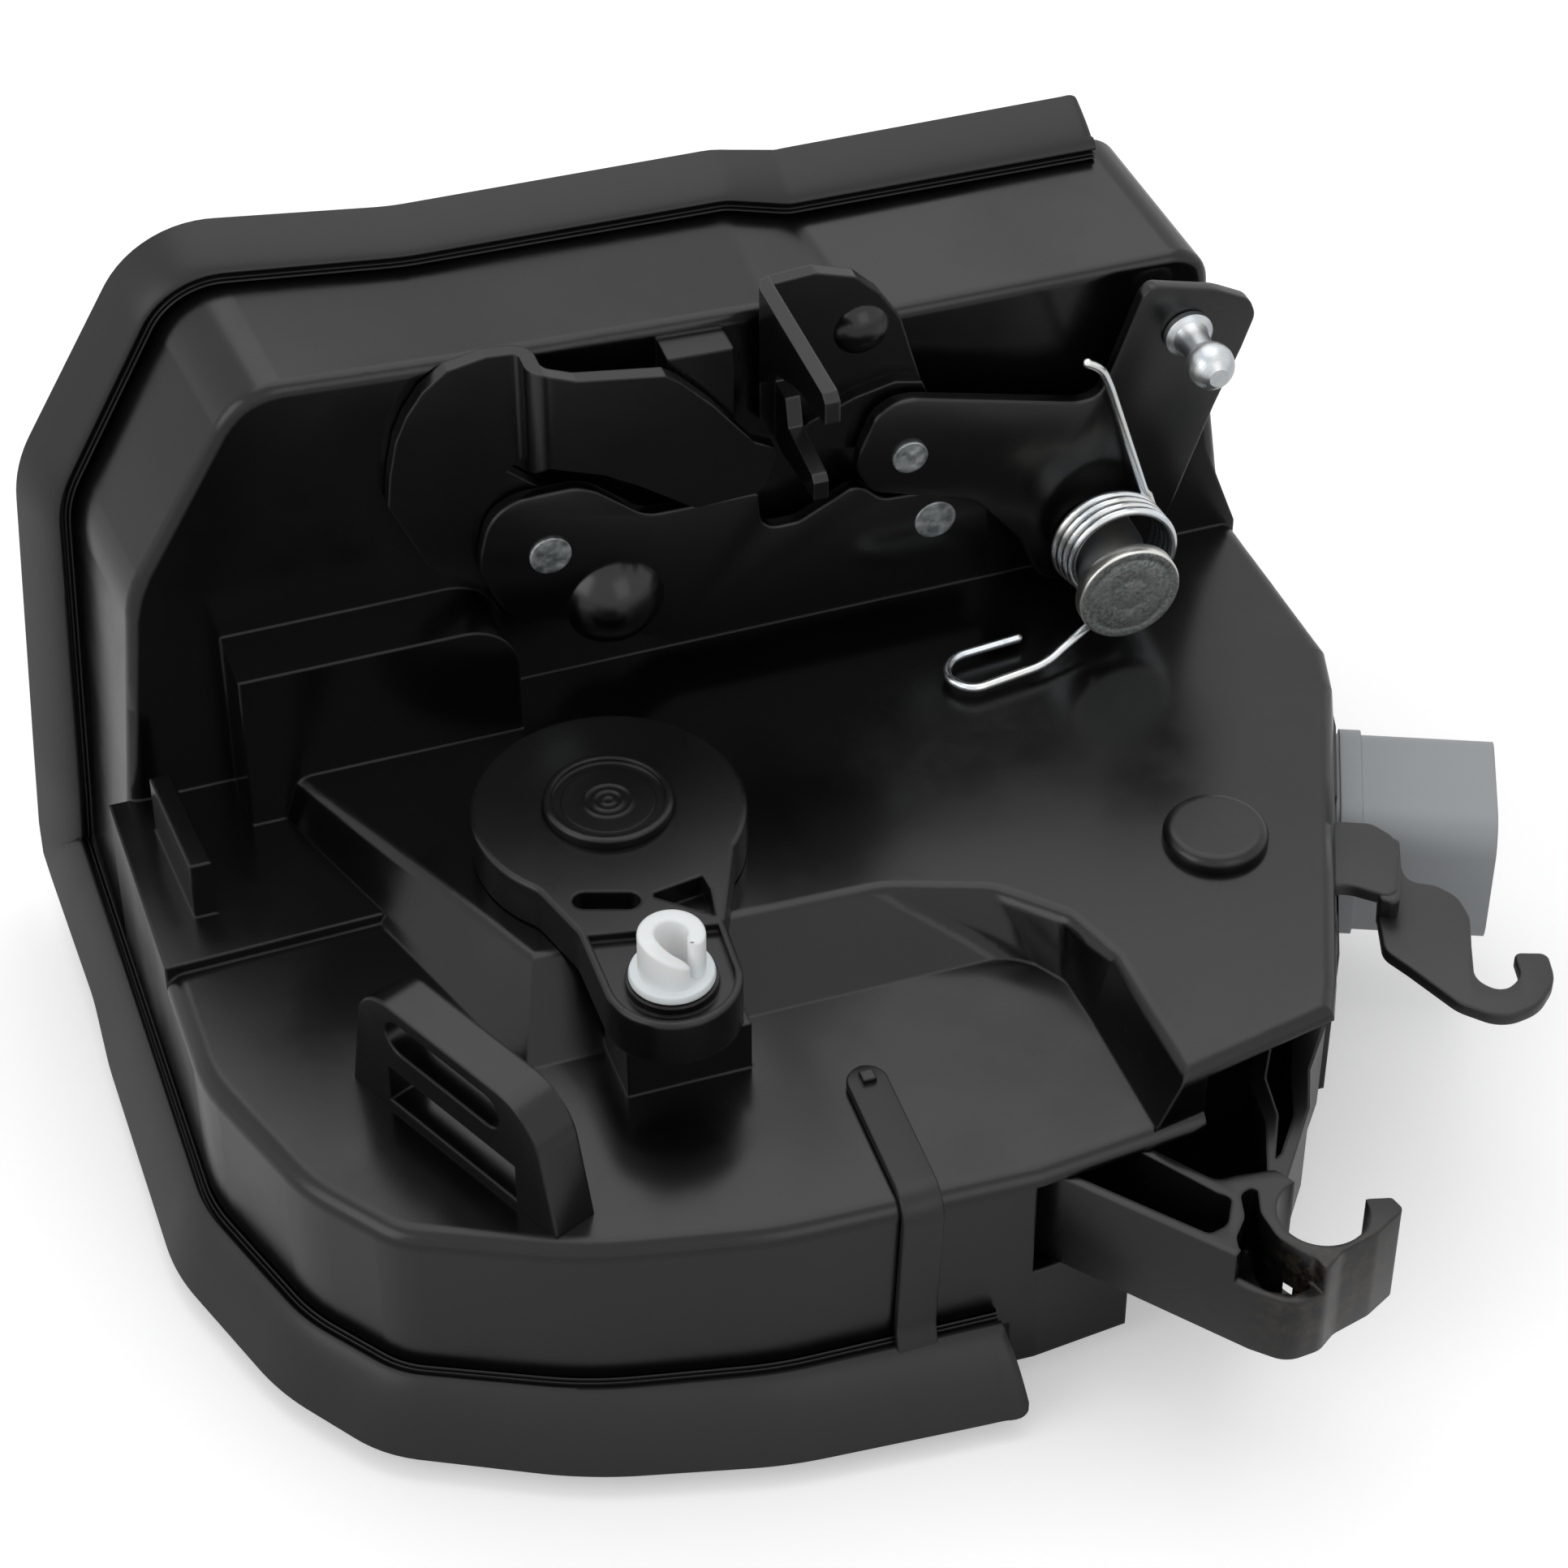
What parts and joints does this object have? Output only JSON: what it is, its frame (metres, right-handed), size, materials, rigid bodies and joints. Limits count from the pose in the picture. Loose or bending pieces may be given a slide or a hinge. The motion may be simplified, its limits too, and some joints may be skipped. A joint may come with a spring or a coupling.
{
  "type": "door latch actuator",
  "caption": "Vehicle door latch with lock drive: L-shaped moulded housing with a flared rubber lip, steel lever linkage, spring, lock lever with rod clip, plug socket and cable bracket.",
  "frame": {"origin": "on the outer face of the steel latch plate, level with the main deck's top, in the middle of the plate's length", "axes": "+Y out of the latch plate towards the striker, +Z away from the door's inner panel, +X along the shut face towards the plug socket"},
  "size_m": [0.2347, 0.1901, 0.1315],
  "materials": {
    "moulded_black": "satin moulded plastic, lightly scuffed",
    "seal_rubber": "black rubber, slightly glossy",
    "zinc_plate": "zinc plated steel",
    "body_plastic": "moulded plastic",
    "forged_steel": "ground steel",
    "rivet_zinc": "zinc plated, peened ends",
    "spring_steel": "oiled spring wire",
    "coated_steel": "black electro-coated sheet steel, worn edges",
    "grey_coated_steel": "dark grey coated sheet steel",
    "ball_zinc": "bright zinc plate, turned",
    "head_zinc": "dull zinc plate",
    "zinc_wire": "bright zinc plated wire",
    "lever_plastic": "moulded plastic",
    "natural_nylon": "natural nylon, slightly translucent",
    "gear_plastic": "natural gear plastic",
    "pinion_brass": "machined brass",
    "motor_can": "plated motor can",
    "switch_plastic": "moulded switch",
    "plug_rubber": "soft black plug",
    "socket_grey": "grey moulded plastic",
    "contact_brass": "tinned contacts",
    "bracket_black": "moulded plastic, slightly dusty"
  },
  "bodies": {
    "base": {"housing": "moulded_black", "tie_loop": "moulded_black", "seal": "seal_rubber", "latch_plate": "zinc_plate", "latch_body": "body_plastic", "claw_pin": "rivet_zinc", "pawl_pin": "rivet_zinc", "claw_spring": "spring_steel", "pawl_spring": "spring_steel", "back_cover": "moulded_black", "bottom_cover": "moulded_black", "guide_plate": "coated_steel", "main_pin": "head_zinc", "spring_bush": "body_plastic", "torsion_spring": "zinc_wire", "motor": "motor_can", "lock_switch": "switch_plastic", "access_plug": "plug_rubber", "inside_pin": "rivet_zinc", "plug_socket": "socket_grey", "contact_block": "contact_brass", "cable_bracket": "bracket_black", "cable_guide": "bracket_black"},
    "claw": {"claw": "forged_steel"},
    "pawl": {"pawl": "forged_steel"},
    "release_lever": {"release_lever": "coated_steel"},
    "outside_lever": {"outside_lever": "coated_steel", "ball_stud": "ball_zinc", "link_pin": "rivet_zinc"},
    "lift_lever": {"lift_lever": "coated_steel"},
    "lock_lever": {"lock_lever": "lever_plastic", "lock_hub": "lever_plastic", "rod_clip": "natural_nylon", "lock_wheel": "gear_plastic"},
    "pinion": {"pinion": "pinion_brass"},
    "inside_lever": {"inside_lever": "grey_coated_steel"}
  },
  "joints": [
    {"name": "claw_turn", "type": "hinge", "parent": "base", "child": "claw", "pos_m": [0.038, -0.009, 0.02], "axis": [0, 1, 0], "range_deg": [0, 65], "stiffness_Nm_per_rad": 0.03, "springref_deg": -17.19, "deforming": ["claw_spring"]},
    {"name": "pawl_turn", "type": "hinge", "parent": "base", "child": "pawl", "pos_m": [-0.0285, -0.009, 0.03], "axis": [0, 1, 0], "range_deg": [0, 4], "deforming": ["pawl_spring"]},
    {"name": "outside_lever_turn", "type": "hinge", "parent": "base", "child": "outside_lever", "pos_m": [0.065, -0.0425, 0.0125], "axis": [0, -1, 0], "range_deg": [0, 8], "stiffness_Nm_per_rad": 0.4, "springref_deg": -17.19, "deforming": ["torsion_spring"]},
    {"name": "lift_lever_turn", "type": "hinge", "parent": "outside_lever", "child": "lift_lever", "pos_m": [0.032, -0.038, 0.037], "axis": [0, -1, 0], "range_deg": [-8, 0]},
    {"name": "release_lever_turn", "type": "hinge", "parent": "base", "child": "release_lever", "pos_m": [-0.0285, -0.037, 0.03], "axis": [0, -1, 0], "range_deg": [0, 7.2]},
    {"name": "lock_lever_turn", "type": "hinge", "parent": "base", "child": "lock_lever", "pos_m": [-0.031, -0.0787, 0.004], "axis": [0, 0, 1], "range_deg": [0, 40]},
    {"name": "pinion_turn", "type": "hinge", "parent": "base", "child": "pinion", "pos_m": [-0.00131, -0.07239, -0.035], "axis": [0, 0, 1], "range_deg": [-160, 0]},
    {"name": "inside_lever_turn", "type": "hinge", "parent": "base", "child": "inside_lever", "pos_m": [0.061, -0.1086, -0.01], "axis": [0, 0, -1], "range_deg": [0, 15]}
  ],
  "couplings": [
    {"joint": "lift_lever_turn", "follows": "outside_lever_turn", "ratio": -1},
    {"joint": "release_lever_turn", "follows": "outside_lever_turn", "ratio": 0.9},
    {"joint": "pinion_turn", "follows": "lock_lever_turn", "ratio": -4}
  ]
}
